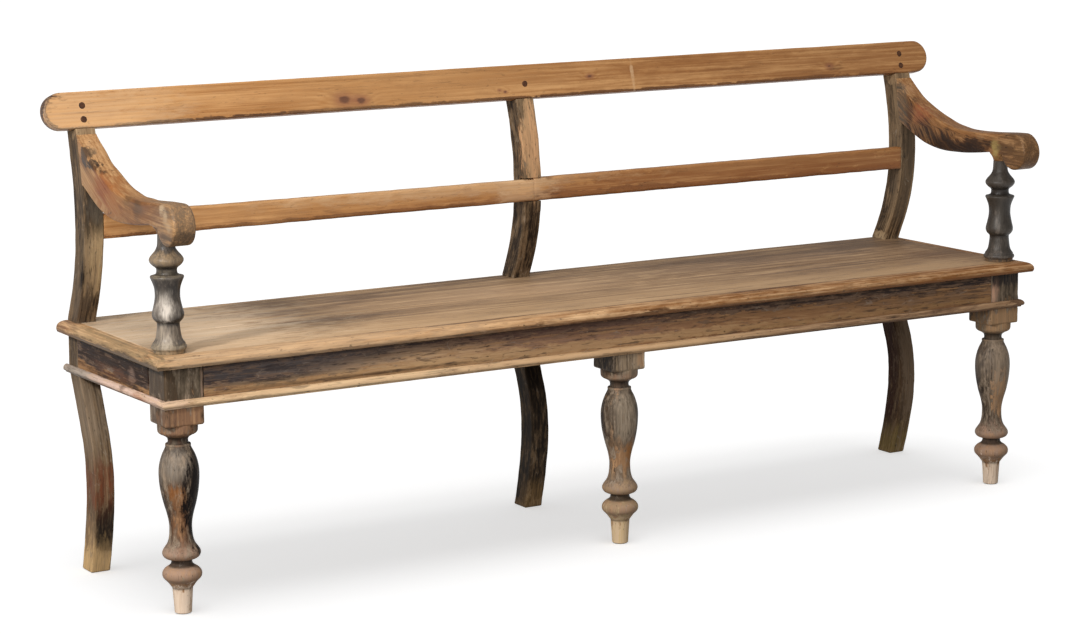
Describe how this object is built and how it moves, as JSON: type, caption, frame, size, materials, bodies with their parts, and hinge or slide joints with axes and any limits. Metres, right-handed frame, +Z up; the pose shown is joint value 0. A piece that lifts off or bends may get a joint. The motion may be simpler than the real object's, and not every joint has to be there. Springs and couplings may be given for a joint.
{
  "type": "deacons bench",
  "caption": "Long wooden bench with turned front legs, curved rear posts, an open railed back, scrolled arms on turned supports and a boarded seat.",
  "frame": {"origin": "middle of the footprint, on the floor", "axes": "+X along the bench towards a viewer's right, the front towards -Y, +Z up"},
  "size_m": [1.972, 0.5068, 0.88],
  "materials": {
    "waxed_rail_wood": "worn honey-brown wax",
    "dark_post_wood": "dark stain worn through at the edges",
    "rubbed_leg_wood": "dark stain rubbed pale on rings and feet",
    "dark_apron_wood": "dark stain worn in streaks along the grain",
    "bare_inner_wood": "unfinished and aged",
    "worn_moulding_wood": "stain worn back to pale wood",
    "scrubbed_seat_wood": "dry and scrubbed, greyish brown",
    "worn_nosing_wood": "edge worn to honey-coloured wood",
    "polished_arm_wood": "honey-brown, polished by hands, dark patches",
    "grey_support_wood": "grey-brown stain with dark rims",
    "peg_wood": "dark brown end grain"
  },
  "bodies": {
    "root": {"front_leg_left": "rubbed_leg_wood", "front_leg_middle": "rubbed_leg_wood", "front_leg_right": "rubbed_leg_wood", "rear_post_left": "dark_post_wood", "rear_post_middle": "dark_post_wood", "rear_post_right": "dark_post_wood", "front_apron": "dark_apron_wood", "side_apron_left": "dark_apron_wood", "side_apron_right": "dark_apron_wood", "rear_apron": "bare_inner_wood", "cross_bearer": "bare_inner_wood", "front_moulding": "worn_moulding_wood", "end_moulding_left": "worn_moulding_wood", "end_moulding_right": "worn_moulding_wood", "seat_board_front": "scrubbed_seat_wood", "seat_board_rear": "scrubbed_seat_wood", "seat_nosing_front": "worn_nosing_wood", "seat_nosing_left": "worn_nosing_wood", "seat_nosing_right": "worn_nosing_wood", "top_rail": "waxed_rail_wood", "top_rail_peg_left_lower": "peg_wood", "top_rail_peg_left_upper": "peg_wood", "top_rail_peg_middle": "peg_wood", "top_rail_peg_right_lower": "peg_wood", "top_rail_peg_right_upper": "peg_wood", "middle_rail_left": "waxed_rail_wood", "middle_rail_right": "waxed_rail_wood", "arm_left": "polished_arm_wood", "arm_right": "polished_arm_wood", "arm_support_left": "grey_support_wood", "arm_support_right": "grey_support_wood"}
  },
  "joints": []
}
